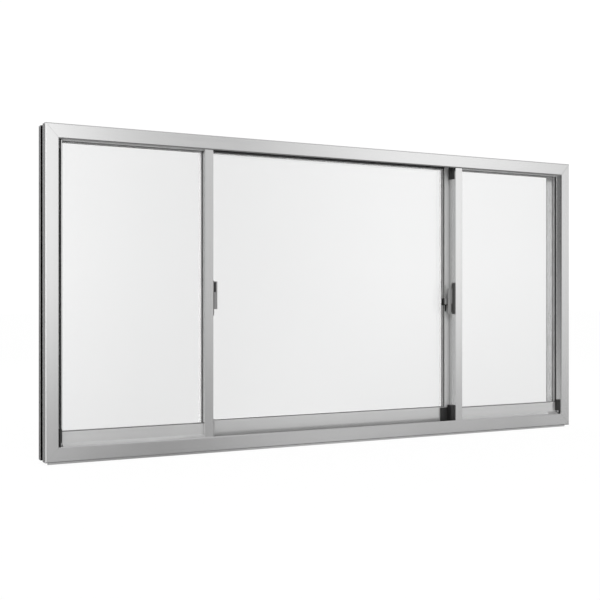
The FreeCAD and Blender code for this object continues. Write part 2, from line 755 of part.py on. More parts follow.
for hand, sign in (("left", -1), ("right", 1)):
    edge = (half_width - v.vent_reach) * sign
    base_front = room_face + sash_face + v.latch_setback
    half = v.latch_height / 2
    tip = edge - v.latch_reach * sign
    grip_end = latch_middle - v.grip_shift * sign - v.grip_height / 2 * sign
    slot_start = grip_end + v.grip_slot_inset * sign
    slot = rectangle(tip, slot_start, tip - v.grip_slot_width * sign,
                     slot_start + v.grip_slot_height * sign)
    grip_back = base_front + v.latch_depth
    base = new_body(hand + "_latch_base")
    slab(base, hand + "_latch_block",
         [[(edge, latch_middle - half), (edge, latch_middle + half),
           (tip, latch_middle + half - v.latch_edge),
           (tip, latch_middle - half + v.latch_edge)]],
         base_front, v.latch_depth)
    slab(base, hand + "_latch_tongue", [slot], grip_back - v.grip_thickness, v.grip_thickness)
    grip = new_body(hand + "_latch_grip")
    grip_sketch = new_sketch(grip, hand + "_grip_section", "XY_Plane",
                             latch_middle - v.grip_shift * sign - v.grip_height / 2)
    grip_tip = tip - v.grip_reach * sign
    draw_outline(grip_sketch, [
        (tip, grip_back),
        (tip, grip_back - v.grip_root),
        (grip_tip, grip_back - v.grip_thickness),
        (grip_tip, grip_back),
    ])
    add_pad(grip, hand + "_grip_bar", grip_sketch, v.grip_height)
    slot_sketch = new_sketch(grip, hand + "_grip_slot_outline", "XZ_Plane")
    draw_outline(slot_sketch, slot)
    add_pocket(grip, hand + "_grip_slot", slot_sketch)
    keeper = new_body(hand + "_keeper")
    plate_edge = lite_sight * sign
    plate_front = room_face + lite_face - v.keeper_thickness
    plate_half = v.keeper_height / 2
    slab(keeper, hand + "_keeper_plate",
         [rectangle(plate_edge, latch_middle - plate_half,
                    plate_edge + v.keeper_width * sign, latch_middle + plate_half)],
         plate_front, v.keeper_thickness)
    knob_level = latch_middle - v.knob_shift
    knob_half = v.knob_height / 2
    knob_reach = v.knob_reach if sign > 0 else v.short_knob_reach
    slab(keeper, hand + "_keeper_knob",
         [rectangle(plate_edge - knob_reach * sign, knob_level - knob_half,
                    plate_edge + v.keeper_width * sign, knob_level + knob_half)],
         plate_front - v.knob_depth, v.knob_depth)


# Blocks: plastic pieces that close the gaps at the ends of the meeting stiles.

for hand, sign in (("left", -1), ("right", 1)):
    edge = (half_width - v.vent_reach) * sign
    block_front = room_face + sash_face + v.block_setback
    block_depth = sash_depth - v.block_setback
    block = new_body(hand + "_stile_top_block")
    slab(block, hand + "_top_block_plate",
         [rectangle(edge, sash_high - v.block_height, edge - v.block_wall * sign, sash_high)],
         block_front, block_depth)
    notch_ends(block, rib_near, rib_far, rib_top)
    heel = new_body(hand + "_stile_foot_block")
    heel_low = sash_low + v.heel_lift
    slab(heel, hand + "_foot_block_plate",
         [rectangle(edge, heel_low, edge - v.heel_wall * sign, heel_low + v.heel_height)],
         block_front, block_depth)

dust_edge = half_width - v.vent_reach
dust_far = dust_edge - v.foot_reach
dust_low = bottom + fin_top + v.foot_lift
dust = new_body("right_sash_foot_block")
slab(dust, "dust_block_plate",
     [[(dust_edge, dust_low), (dust_edge, dust_low + v.foot_height),
       (dust_far, dust_low + v.foot_height), (dust_far, dust_low + v.foot_radius),
       (dust_far + v.foot_radius, dust_low)]],
     room_face + sash_face + sash_depth, v.track_gap)

slope_start = half_width - v.jamb_flange_width - v.step_gap
stile_front = room_face + sash_face
corner_front = stile_front + v.face_step - v.corner_thickness
corner_low = bottom + v.corner_lift


def seat(body, name, sign, far, low, height):
    """A block whose back rests on the jamb stile's slope and on the face beyond it.

    Its far side is given by the distance from the start of the slope.
    """
    sketch = new_sketch(body, name + "_section", "XY_Plane", low)
    near = v.corner_inset
    points = [(near, corner_front), (near, stile_front + v.face_step * near / v.splay)]
    if far.value > v.splay.value:
        points += [(v.splay, stile_front + v.face_step), (far, stile_front + v.face_step)]
    else:
        points.append((far, stile_front + v.face_step * far / v.splay))
    points.append((far, corner_front))
    draw_outline(sketch, [((slope_start - inward) * sign, along_y)
                          for inward, along_y in points])
    add_pad(body, name, sketch, height)


for hand, sign, far in (("left", -1, v.short_corner_reach), ("right", 1, v.corner_reach)):
    corner = new_body(hand + "_sash_corner_block")
    seat(corner, hand + "_corner_block", sign, far, corner_low, v.corner_height)
    seat(corner, hand + "_corner_pin", sign, v.pin_reach,
         corner_low - v.pin_length, v.pin_length)


doc.recompute()
problems = []
for thing in doc.Objects:
    if "Invalid" in thing.State or "Error" in thing.State:
        problems.append(f"{thing.Label}: {thing.State}")
for body in sub_parts:
    if body.Shape.isNull() or not body.Shape.isValid():
        problems.append(f"{body.Label}: bad shape")
if problems:
    raise RuntimeError("; ".join(problems))

os.makedirs("parts", exist_ok=True)
for body in sub_parts:
    body.Shape.exportStep(os.path.join("parts", body.Label + ".step"))
    print(f"{body.Label}: {len(body.Shape.Solids)} solids, {body.Shape.Volume:.0f} mm3")
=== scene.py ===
import math

import bpy
import numpy as np
from bpy.props import FloatProperty, FloatVectorProperty, PointerProperty
from bpy.types import Operator, Panel, PropertyGroup
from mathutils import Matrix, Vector


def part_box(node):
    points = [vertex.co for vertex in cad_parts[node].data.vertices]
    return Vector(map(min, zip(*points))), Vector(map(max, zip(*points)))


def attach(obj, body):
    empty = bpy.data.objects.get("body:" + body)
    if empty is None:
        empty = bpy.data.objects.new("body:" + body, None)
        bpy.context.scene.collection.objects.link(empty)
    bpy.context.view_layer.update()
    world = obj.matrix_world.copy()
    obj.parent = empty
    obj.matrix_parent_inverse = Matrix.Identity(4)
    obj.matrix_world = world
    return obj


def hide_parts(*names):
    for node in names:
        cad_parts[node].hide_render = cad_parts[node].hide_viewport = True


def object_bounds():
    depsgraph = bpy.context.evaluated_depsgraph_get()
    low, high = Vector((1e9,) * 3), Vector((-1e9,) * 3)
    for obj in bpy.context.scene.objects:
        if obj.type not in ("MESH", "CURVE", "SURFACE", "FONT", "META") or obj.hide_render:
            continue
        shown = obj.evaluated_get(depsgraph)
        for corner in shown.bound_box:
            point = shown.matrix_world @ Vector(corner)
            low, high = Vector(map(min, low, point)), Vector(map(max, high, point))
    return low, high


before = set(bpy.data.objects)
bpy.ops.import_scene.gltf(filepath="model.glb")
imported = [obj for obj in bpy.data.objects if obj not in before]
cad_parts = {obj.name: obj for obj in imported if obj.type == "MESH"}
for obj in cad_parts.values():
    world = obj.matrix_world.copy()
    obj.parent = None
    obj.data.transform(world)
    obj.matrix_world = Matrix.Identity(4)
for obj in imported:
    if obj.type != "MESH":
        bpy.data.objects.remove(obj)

bl_info = {
    "name": "Horizontal Sliding Window",
    "version": (1, 0, 0),
    "blender": (4, 5, 0),
    "location": "3D View > Sidebar > Window",
    "description": "Finishes and glazing gaskets of a three-lite sliding window in a pale studio",
    "category": "Object",
}

CAD_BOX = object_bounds()
BODY = "root"
LEVEL = ("head", "sill", "rail")

# Places on the window, in metres: the frame's faces and its break, the finger hollow in the left
#  grip, the plate beside the right keeper's knob, and the painted shade lines between sashes and
#  jambs. Painted shade goes beside the break, in the grip's hollow and along those lines.
LEG = 0.007
HEAD_FACE = 0.0415
JAMB_FACE = 0.038
ROOM_HALF = 0.034
WEATHER_HALF = 0.026
BREAK_MIDDLE = (CAD_BOX[0][1] + ROOM_HALF + CAD_BOX[1][1] - WEATHER_HALF) / 2
BREAK_HALF = (CAD_BOX[1][1] - CAD_BOX[0][1] - ROOM_HALF - WEATHER_HALF) / 2
FINGER_LEVEL = 0.482
FINGER_LENGTH = 0.029
FINGER_EDGE = -0.4152
PLATE_EDGE = 0.4065
PLATE_FOOT = 0.4296
JAMB_SHADE_LINES = {"left": (-0.8785, -0.8705), "right": (0.8600, 0.8668)}

# How the aluminium differs from bar to bar: its metal share, and painted light and shade, lighter
# copies for the sash rails and the fixed lite's stiles behind the sashes, a darker copy for the
# fixed lite's top rail in shadow under the head.
METAL = 0.92
RAIL_METAL = 0.5
SHELTER_METAL = 0.1
RAIL_PAINTED_LIGHT = 1.12
SHELTER_PAINTED_LIGHT = 1.12
TOP_RAIL_PAINTED_SHADE = 0.45
MITRE_SHARPNESS = 110.0
MITRE_GREY = (0.05, 0.05, 0.05, 1.0)
BREAK_SHADE_BLACK = (0.012, 0.012, 0.012, 1.0)
SHADE_LINE_BLACK = (0.008, 0.008, 0.008, 1.0)
FINGER_SHADE_BLACK = (0.006, 0.006, 0.006, 1.0)


# Shader helpers: sockets that add, subtract, multiply and divide as plain values do.

class Wire:
    """A socket in a material; arithmetic on it adds the Math node that does the sum."""

    def __init__(self, paint, socket):
        self.paint = paint
        self.socket = socket

    def _sum(self, operation, first, second):
        return self.paint.math(operation, first, second)

    def __add__(self, other):
        return self._sum("ADD", self, other)

    def __radd__(self, other):
        return self._sum("ADD", other, self)

    def __sub__(self, other):
        return self._sum("SUBTRACT", self, other)

    def __rsub__(self, other):
        return self._sum("SUBTRACT", other, self)

    def __mul__(self, other):
        return self._sum("MULTIPLY", self, other)

    def __truediv__(self, other):
        return self._sum("DIVIDE", self, other)

    def __abs__(self):
        return self._sum("ABSOLUTE", self, 0.0)


class Paint:
    """A node tree under construction, for a material or for the world."""

    def __init__(self, owner):
        owner.use_nodes = True
        self.tree = owner.node_tree
        self.tree.nodes.clear()

    def add(self, kind, settings=None, values=None, output=0):
        """Add a node, set its settings, then its inputs, and return one of its outputs."""
        node = self.tree.nodes.new(kind)
        for name, value in (settings or {}).items():
            if name == "stops":
                stops = node.color_ramp.elements
                while len(stops) < len(value):
                    stops.new(0.5)
                for stop, (place, grey) in zip(stops, value):
                    stop.position = place
                    stop.color = (grey, grey, grey, 1.0)
            else:
                setattr(node, name, value)
        for name, value in (values or {}).items():
            socket = node.inputs[name]
            if isinstance(value, Wire):
                self.tree.links.new(value.socket, socket)
            else:
                socket.default_value = value
        return Wire(self, node.outputs[output]) if len(node.outputs) else node

    def math(self, operation, first, second=0.0, clamp=False):
        """One Math node."""
        return self.add("ShaderNodeMath", {"operation": operation, "use_clamp": clamp},
                        {0: first, 1: second})

    def split(self, vector):
        """The three parts of a vector, as values."""
        node = self.tree.nodes.new("ShaderNodeSeparateXYZ")
        self.tree.links.new(vector.socket, node.inputs[0])
        return [Wire(self, socket) for socket in node.outputs]

    def place(self, scale):
        """Object coordinates, stretched along each axis by its own scale."""
        where = self.add("ShaderNodeTexCoord", output="Object")
        return self.add("ShaderNodeMapping", {"vector_type": "POINT"},
                        {"Vector": where, "Scale": scale})

    def noise(self, scale, detail=3.0, roughness=0.5):
        """Smooth noise from 0 to 1 on stretched Object coordinates, scaled per metre."""
        return self.add("ShaderNodeTexNoise", {"noise_dimensions": "3D"},
                        {"Vector": self.place(scale), "Scale": 1.0, "Detail": detail,
                         "Roughness": roughness})

    def blend(self, factor, first, second):
        """Mix two colours by a value."""
        node = self.tree.nodes.new("ShaderNodeMix")
        node.data_type = "RGBA"
        for index, value in ((0, factor), (6, first), (7, second)):
            if isinstance(value, Wire):
                self.tree.links.new(value.socket, node.inputs[index])
            else:
                node.inputs[index].default_value = value
        return Wire(self, node.outputs[2])

    def bump(self, height, distance, strength=1.0):
        """A bumped normal, its height in metres."""
        return self.add("ShaderNodeBump", None,
                        {"Height": height, "Distance": distance, "Strength": strength})

    def surface(self, shader):
        """Make a shader the tree's result."""
        kind = "ShaderNodeOutputWorld" if isinstance(self.tree.id_data, bpy.types.World) \
            else "ShaderNodeOutputMaterial"
        self.add(kind, None, {"Surface": shader})


def tone(rgb, scale=1.0):
    """A colour with its alpha, made lighter or darker."""
    return (rgb[0] * scale, rgb[1] * scale, rgb[2] * scale, 1.0)


def new_material(name):
    """A fresh material and its paint."""
    material = bpy.data.materials.new(name)
    return material, Paint(material)


def anodised_aluminium(name, rgb, along, mitres=False, metal=METAL, shade_line=None):
    """Satin anodised extrusion: fine die lines along its length, faint clouds in its film.

    The die lines are noise stretched along the bar. Where two frame bars meet, a
    hairline follows the plane from the frame's outer to its inner corner, and the faces
    that grip the thermal break are painted black as the shade deep in the groove there.
    A shade line is painted shade: a black line along an upright, between two distances
    from the window's middle, for the shadowed gap between sash and jamb.
    """
    material, paint = new_material(name)
    fine = [1400.0, 1400.0, 1400.0]
    fine[along] = 1.4
    lines = paint.noise(fine, 2.0, 0.6)
    broad = [160.0, 160.0, 160.0]
    broad[along] = 0.6
    bands = paint.noise(broad, 2.0, 0.5)
    clouds = paint.noise((7.0, 7.0, 7.0), 3.0, 0.6)
    shade = 0.5 + (lines - 0.5) * 0.30 + (bands - 0.5) * 0.34 + (clouds - 0.5) * 0.30
    colour = paint.blend(shade, tone(rgb, 0.93), tone(rgb, 1.07))
    height = lines * 0.6 + bands * 0.4
    if mitres:
        x, y, z = paint.split(paint.add("ShaderNodeTexCoord", output="Object"))
        low, high = CAD_BOX[0][2] + LEG, CAD_BOX[1][2]
        side = (CAD_BOX[1][0] - abs(x)) / JAMB_FACE
        end = ((high - low) / 2 - abs(z - (low + high) / 2)) / HEAD_FACE
        joint = paint.math("SUBTRACT", 1.0, abs(side - end) * MITRE_SHARPNESS, clamp=True)
        colour = paint.blend(joint * 0.75, colour, MITRE_GREY)
        height = height - joint * 3.0
        # Painted shade: the faces that grip the thermal break, deep in the groove, are coloured
        # black for the shade there.
        grip = abs(abs(y - BREAK_MIDDLE) - BREAK_HALF)
        grip = paint.math("SUBTRACT", 1.0, grip * 3000.0, clamp=True)
        colour = paint.blend(paint.math("GREATER_THAN", grip, 0.01), colour, BREAK_SHADE_BLACK)
    # Painted shade: a black, non-metallic line along the upright stands in for the shadowed gap
    # between sash and jamb.
    if shade_line:
        x, _, _ = paint.split(paint.add("ShaderNodeTexCoord", output="Object"))
        inside = paint.math("LESS_THAN", abs(x - sum(shade_line) / 2), (shade_line[1] - shade_line[0]) / 2)
        colour = paint.blend(inside, colour, SHADE_LINE_BLACK)
        metal = METAL - inside * METAL
    shader = paint.add("ShaderNodeBsdfPrincipled", None, {
        "Base Color": colour,
        "Metallic": metal,
        "Roughness": 0.18 + (lines - 0.5) * 0.08 + (clouds - 0.5) * 0.05,
        "Normal": paint.bump(height, 0.00003),
    })
    paint.surface(shader)
    return material


def moulded_plastic(name, rgb, roughness=0.5, grain=1.0, plate=None):
    """Moulded plastic with a fine spark-eroded grain and faint handling marks.

    A plate is a lighter upper part, beside the keeper's knob.
    """
    material, paint = new_material(name)
    pits = paint.noise((2600.0, 2600.0, 2600.0), 2.0, 0.6)
    marks = paint.noise((60.0, 60.0, 60.0), 4.0, 0.6)
    colour = paint.blend(marks * 0.7 + pits * 0.3, tone(rgb, 0.8), tone(rgb, 1.25))
    if plate:
        x, _, z = paint.split(paint.add("ShaderNodeTexCoord", output="Object"))
        inside = paint.math("GREATER_THAN", x, PLATE_EDGE) \
            * paint.math("GREATER_THAN", z, PLATE_FOOT)
        colour = paint.blend(inside, colour, tone(plate))
    shader = paint.add("ShaderNodeBsdfPrincipled", None, {
        "Base Color": colour,
        "Roughness": roughness + (marks - 0.5) * 0.16,
        "Normal": paint.bump(pits, 0.00005 * grain),
    })
    paint.surface(shader)
    return material


def soft_rubber(name, rgb):
    """Extruded rubber: dull black, with faint drag lines and a little bloom."""
    material, paint = new_material(name)
    bloom = paint.noise((45.0, 45.0, 45.0), 3.0, 0.6)
    skin = paint.noise((1800.0, 1800.0, 1800.0), 2.0, 0.5)
    colour = paint.blend(bloom, tone(rgb, 0.75), tone(rgb, 1.5))
    shader = paint.add("ShaderNodeBsdfPrincipled", None, {
        "Base Color": colour,
        "Roughness": 0.62 + (bloom - 0.5) * 0.2,
        "Normal": paint.bump(skin, 0.00004),
    })
    paint.surface(shader)
    return material


def spacer_metal(name, rgb):
    """Roll-formed spacer bar: dull mill metal with a row of breathing holes."""
    material, paint = new_material(name)
    x, _, z = paint.split(paint.add("ShaderNodeTexCoord", output="Object"))
    pitch = paint.math("FRACT", (x + z) * 160.0)
    dots = paint.math("SUBTRACT", 1.0, abs(pitch - 0.5) * 7.0, clamp=True)
    grain = paint.noise((500.0, 500.0, 500.0), 3.0, 0.6)
    base = paint.blend(grain, tone(rgb, 0.85), tone(rgb, 1.1))
    shader = paint.add("ShaderNodeBsdfPrincipled", None, {
        "Base Color": paint.blend(dots * 0.5, base, tone(rgb, 0.35)),
        "Metallic": 0.1,
        "Roughness": 0.42 + (grain - 0.5) * 0.12,
        "Normal": paint.bump(grain - dots, 0.00004),
    })
    paint.surface(shader)
    return material


def clear_glass(name, rgb):
    """Float glass: clear, faintly tinted, its film of dust just felt in the roughness."""
    material, paint = new_material(name)
    film = paint.noise((3.0, 3.0, 3.0), 4.0, 0.6)
    shader = paint.add("ShaderNodeBsdfPrincipled", None, {
        "Base Color": paint.blend(film, tone(rgb, 0.995), tone(rgb, 1.005)),
        "Roughness": 0.02 + film * 0.03,
        "Transmission Weight": 1.0,
        "IOR": 1.45,
    })
    paint.surface(shader)
    return material


def cast_latch(name, rgb, finger_shade=False):
    """Powder-coated casting: fine orange peel and slightly worn, lighter patches.

    The left grip has painted shade: a black patch beside its root over its upper part, standing
    in for the shade in its finger hollow.
    """
    material, paint = new_material(name)
    peel = paint.noise((900.0, 900.0, 900.0), 2.0, 0.5)
    worn = paint.noise((40.0, 40.0, 40.0), 3.0, 0.6)
    colour = paint.blend(worn, tone(rgb, 0.9), tone(rgb, 1.12))
    # Painted shade: black where the finger hollow beside the grip's root lies in shade.
    if finger_shade:
        x, _, z = paint.split(paint.add("ShaderNodeTexCoord", output="Object"))
        inside = paint.math("LESS_THAN", abs(z - FINGER_LEVEL), FINGER_LENGTH / 2) \
            * paint.math("LESS_THAN", x, FINGER_EDGE)
        colour = paint.blend(inside, colour, FINGER_SHADE_BLACK)
    shader = paint.add("ShaderNodeBsdfPrincipled", None, {
        "Base Color": colour,
        "Metallic": 0.2,
        "Roughness": 0.45 + (worn - 0.5) * 0.12,
        "Normal": paint.bump(peel, 0.00004),
    })
    paint.surface(shader)
    return material




class WindowSizes(PropertyGroup):
    """Sizes of the pieces that are made here, in metres."""

    lip_width: FloatProperty(
        name="Gasket lip width", description="How far a gasket's lip shows on the glass",
        default=0.0010, min=0.0005, max=0.005, unit="LENGTH")
    lip_height: FloatProperty(
        name="Gasket lip height", description="How far the lip stands off the glass",
        default=0.0007, min=0.0004, max=0.003, unit="LENGTH")
    lip_bite: FloatProperty(
        name="Gasket bite", description="How deep the gasket sits behind the sash's edge",
        default=0.006, min=0.003, max=0.01, unit="LENGTH")
    lip_foot: FloatProperty(
        name="Gasket thickness", description="Thickness of the gasket inside the groove",
        default=0.0012, min=0.0005, max=0.003, unit="LENGTH")


class WindowColours(PropertyGroup):
    """Colours of the finishes."""

    aluminium: FloatVectorProperty(
        name="Aluminium", description="Satin anodised extrusions", subtype="COLOR",
        default=(0.70, 0.70, 0.70), min=0.0, max=1.0)
    glass: FloatVectorProperty(
        name="Glass", description="Tint of the clear glass", subtype="COLOR",
        default=(0.917, 0.918, 0.918), min=0.0, max=1.0)
    rubber: FloatVectorProperty(
        name="Rubber", description="Glazing gaskets", subtype="COLOR",
        default=(0.05, 0.05, 0.05), min=0.0, max=1.0)
    plastic: FloatVectorProperty(
        name="Plastic", description="Blocks, keepers and roller carriers", subtype="COLOR",
        default=(0.03, 0.03, 0.03), min=0.0, max=1.0)
    latch: FloatVectorProperty(
        name="Latch grip", description="Finger grips of the latches", subtype="COLOR",
        default=(0.32, 0.32, 0.32), min=0.0, max=1.0)
    latch_base: FloatVectorProperty(
        name="Latch base", description="Bases of the latches", subtype="COLOR",
        default=(0.12, 0.12, 0.12), min=0.0, max=1.0)


def dress(nodes, material):
    """Give every material slot of the named nodes one material."""
    for node in nodes:
        piece = bpy.data.objects[node]
        for slot in piece.material_slots:
            slot.material = material


def nodes_where(test):
    """Names of the frame's nodes that pass a test."""
    return sorted(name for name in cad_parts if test(name))


def gasket_ring(name, left, right, low, high, glass, outward, sizes):
    """One ring of gasket round a sheet of glass.

    The profile runs from the foot behind the sash's edge over a rounded lip to the
    glass: for u from 0 to 1 the lip's distance in from the edge is width * u and its
    height is foot * sqrt(1 - u) + 0.7 * rise * sin(pi * u ^ 0.6), nothing at u = 1.
    The ring is that profile carried round a rectangle, each corner on its diagonal.
    """
    u = np.linspace(0.0, 1.0, 9)
    lip_in = sizes.lip_width * u
    lip_up = sizes.lip_foot * (1 - u) ** 0.5 + sizes.lip_height * np.sin(np.pi * u ** 0.6) * 0.7
    lip_up[-1] = 0.0
    inward = np.concatenate([[-sizes.lip_bite, -sizes.lip_bite, 0.0], lip_in[1:]])
    upward = np.concatenate([[0.0, sizes.lip_foot, sizes.lip_foot], lip_up[1:]])
    corner_x = np.array([left, right, right, left])
    corner_z = np.array([low, low, high, high])
    sign_x = np.array([1.0, -1.0, -1.0, 1.0])
    sign_z = np.array([1.0, 1.0, -1.0, -1.0])
    x = corner_x[:, None] + sign_x[:, None] * inward
    z = corner_z[:, None] + sign_z[:, None] * inward
    y = np.broadcast_to(glass + outward * upward, x.shape)
    points = np.stack([x, y, z], axis=-1).reshape(-1, 3)
    count = len(inward)
    side, step = np.meshgrid(np.arange(4), np.arange(count), indexing="ij")
    after_side, after_step = (side + 1) % 4, (step + 1) % count
    faces = np.stack([side * count + step, side * count + after_step,
                      after_side * count + after_step, after_side * count + step],
                     axis=-1).reshape(-1, 4)
    if outward > 0:
        faces = faces[:, ::-1]
    return points, faces


def mesh_piece(name, shells, material, replaced):
    """Join shells of points and faces into one object that stands in for a node."""
    points, faces, start = [], [], 0
    for shell_points, shell_faces in shells:
        points.append(shell_points)
        faces.append(shell_faces + start)
        start += len(shell_points)
    mesh = bpy.data.meshes.new(name)
    mesh.from_pydata(np.concatenate(points).tolist(), [], np.concatenate(faces).tolist())
    mesh.update()
    piece = bpy.data.objects.new(name, mesh)
    bpy.context.scene.collection.objects.link(piece)
    mesh.materials.append(material)
    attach(piece, BODY)
    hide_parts(replaced)


class WINDOW_OT_aluminium(Operator):
    """Finish the frame's and sashes' extrusions in satin anodised aluminium"""

    bl_idname = "window.aluminium"
    bl_label = "Aluminium"

    def execute(self, context):
        rgb = context.scene.window_colours.aluminium
        for label, along, level in (("level", 0, True), ("upright", 2, False)):
            bars = anodised_aluminium(f"frame_{label}_aluminium", rgb, along, mitres=True)
            dress(nodes_where(lambda n: n.startswith("frame_") and n.endswith("_side")
                              and any(word in n for word in LEVEL) == level), bars)
            # Painted light: the sash rails are a lighter copy of the aluminium, standing in for
            # how they are lit.
            rail_light_scale = RAIL_PAINTED_LIGHT if level else 1.0
            sash = anodised_aluminium(f"sash_{label}_aluminium",
                                      [part * rail_light_scale for part in rgb], along,
                                      metal=RAIL_METAL if level else METAL)
            dress(nodes_where(lambda n: n.endswith("_rail" if level else "_stile")), sash)
        # Painted shade: the fixed lite's top rail, in shadow under the head, is a darker copy of
        # the aluminium.
        dress(["fixed_lite_top_rail"],
              anodised_aluminium("painted_shade_rail_aluminium", [part * TOP_RAIL_PAINTED_SHADE for part in rgb], 0))
        # Painted light: the fixed lite's stiles, in shade behind the sashes' meeting stiles, are
        # a lighter, less metallic copy.
        dress(["fixed_lite_left_stile", "fixed_lite_right_stile"],
              anodised_aluminium("sheltered_painted_light_aluminium", [part * SHELTER_PAINTED_LIGHT for part in rgb], 2,
                                 metal=SHELTER_METAL))
        # Painted shade lines on the sashes' jamb stiles, for the dark gap beside each jamb.
        for side, shade_line in JAMB_SHADE_LINES.items():
            dress([side + "_sash_jamb_stile"],
                  anodised_aluminium(f"{side}_shade_lined_aluminium", rgb, 2, shade_line=shade_line))
        return {"FINISHED"}


class WINDOW_OT_glass(Operator):
    """Finish the sheets of glass and the spacer bars between them"""

    bl_idname = "window.glass"
    bl_label = "Glass"

    def execute(self, context):
        colours = context.scene.window_colours
        dress(nodes_where(lambda n: n.endswith("_glass")),
              clear_glass("float_glass", colours.glass))
        dress(nodes_where(lambda n: n.endswith("_spacer")),
              spacer_metal("spacer_metal", (0.90, 0.90, 0.90)))
        return {"FINISHED"}


class WINDOW_OT_gaskets(Operator):
    """Lay a lipped gasket round both faces of each glass unit"""

    bl_idname = "window.gaskets"
    bl_label = "Gaskets"

    def execute(self, context):
        sizes = context.scene.window_sizes
        rubber = soft_rubber("gasket_rubber", context.scene.window_colours.rubber)
        for unit in ("left_sash", "fixed_lite", "right_sash"):
            node = unit + "_gasket"
            low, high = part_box(node)
            bite = sizes.lip_bite
            span = (low[0] + bite, high[0] - bite, low[2] + bite, high[2] - bite)
            rings = [
                gasket_ring(node, *span, low[1] + sizes.lip_foot, -1.0, sizes),
                gasket_ring(node, *span, high[1] - sizes.lip_foot, 1.0, sizes),
            ]
            mesh_piece(unit + "_lip_gasket", rings, rubber, node)
        return {"FINISHED"}


class WINDOW_OT_plastic(Operator):
    """Finish the thermal break, blocks, keepers, rollers and carriers"""

    bl_idname = "window.plastic"
    bl_label = "Plastic"

    def execute(self, context):
        rgb = context.scene.window_colours.plastic
        dress(nodes_where(lambda n: n.endswith("_thermal_break")),
              moulded_plastic("polyamide_break", (0.012, 0.012, 0.012), 0.55, 0.6))
        dress(nodes_where(lambda n: n.endswith(("_block", "_carriers"))),
              moulded_plastic("black_block_plastic", rgb, 0.5))
        dress(["left_stile_top_block", "left_stile_foot_block"],
              moulded_plastic("grey_block_plastic", (0.42, 0.42, 0.42), 0.45))
        dress(nodes_where(lambda n: n.endswith("_keeper")),
              moulded_plastic("keeper_plastic", tone(rgb, 0.4), 0.4, plate=(0.55, 0.55, 0.55)))
        dress(nodes_where(lambda n: n.endswith("_rollers")),
              moulded_plastic("roller_nylon", (0.5, 0.5, 0.48), 0.35, 0.5))
        return {"FINISHED"}


class WINDOW_OT_latches(Operator):
    """Finish the latches' bases and finger grips"""

    bl_idname = "window.latches"
    bl_label = "Latches"

    def execute(self, context):
        colours = context.scene.window_colours
        dress(nodes_where(lambda n: n.endswith("_latch_grip")),
              cast_latch("latch_grip_coat", colours.latch, finger_shade=True))
        dress(nodes_where(lambda n: n.endswith("_latch_base")),
              cast_latch("latch_base_coat", colours.latch_base))
        return {"FINISHED"}


def soft_lamp(name, place, target, size, power):
    """A square area light that points at a target."""
    lamp = bpy.data.lights.new(name, "AREA")
    lamp.shape = "SQUARE"
    lamp.size = size
    lamp.energy = power
    holder = bpy.data.objects.new(name, lamp)
    holder.location = place
    holder.rotation_euler = (Vector(target) - Vector(place)).to_track_quat("-Z", "Y").to_euler()
    bpy.context.scene.collection.objects.link(holder)


# The studio: light and dark cards in a ring, as degrees from the front towards the right
# and a brightness there; one ring stands above eye level and one below it, with a card
# overhead, one underfoot and a white that is seen only by way of the glass.
REST_OF_RING = (
    (-160, 0.80), (-154, 0.97), (-145, 0.76), (-136, 0.70), (-112, 0.60))
RIGHT_OF_RING = ((45, 0.85), (50, 0.20), (56, 0.04), (122, 0.03), (140, 0.55), (180, 0.60))
HIGH_CARDS = ((-180, 0.28), (-168, 0.18)) + REST_OF_RING + (
    (-92, 1.40), (-79, 1.80), (-70, 0.30), (-64, 0.09), (-46, 0.09), (-25, 0.50), (5, 1.43),
    (12, 1.41), (16, 0.98), (19, 0.68), (22, 0.58), (25, 0.72), (29, 1.05), (33, 1.30),
    (37, 1.26), (42, 1.04)) + RIGHT_OF_RING
LOW_CARDS = ((-180, 0.14), (-168, 0.08)) + REST_OF_RING + (
    (-92, 0.80), (-79, 0.95), (-70, 0.70), (-64, 0.75), (-46, 0.75), (-25, 0.60), (5, 0.55),
    (12, 0.54), (15, 0.44), (18.5, 0.22), (21.5, 0.28), (25, 0.62), (28, 0.66), (31, 0.55),
    (34, 0.46), (38, 0.40), (42, 0.42)) + RIGHT_OF_RING
WHITE = (1.0, 1.0, 1.0, 1.0)
FLOOR_REACH = 30.0
CARD_POWER = 1.8
REAR_POWER = 2.1
OVERHEAD_POWER = 0.64
UNDERFOOT_POWER = 0.22
UNIT_FACES = 4
LOW_SINE = -0.125
HIGH_SINE = 0.03
RING_BLEND = 0.75
FLOOR_SHARE = 0.93
STUDIO_WHITE = 1.03


def studio_cards(paint, around, cards):
    """The brightness of one ring of cards at a turn from 0 to 1."""
    stops = [(0.5 + turn / 360.0, power / CARD_POWER) for turn, power in cards]
    return paint.add("ShaderNodeValToRGB", {"stops": stops}, {"Fac": around})


def ray_kinds(paint):
    """Four masks: seen straight, straight through glass, mirrored, and lit behind glass."""
    path = paint.tree.nodes.new("ShaderNodeLightPath")

    def ray(name):
        return Wire(paint, path.outputs[name])

    mirrors = paint.math("GREATER_THAN", ray("Glossy Depth") + ray("Diffuse Depth"), 0.5)
    through = ray("Is Transmission Ray")
    glazed = through * (1.0 - mirrors)
    straight = paint.math("ADD", ray("Is Camera Ray"), glazed, clamp=True)
    mirrored = ray("Is Glossy Ray") * (1.0 - through)
    mirrored = paint.math("ADD", mirrored, through * mirrors, clamp=True)
    inside = paint.math("GREATER_THAN", ray("Transmission Depth"), 0.5)
    returned = paint.math("GREATER_THAN", ray("Transmission Depth"), UNIT_FACES + 2.5)
    behind = (1.0 - through) * (1.0 - ray("Is Camera Ray")) * inside
    behind = paint.math("ADD", behind, through * mirrors * returned, clamp=True)
    return straight, glazed, mirrored, behind


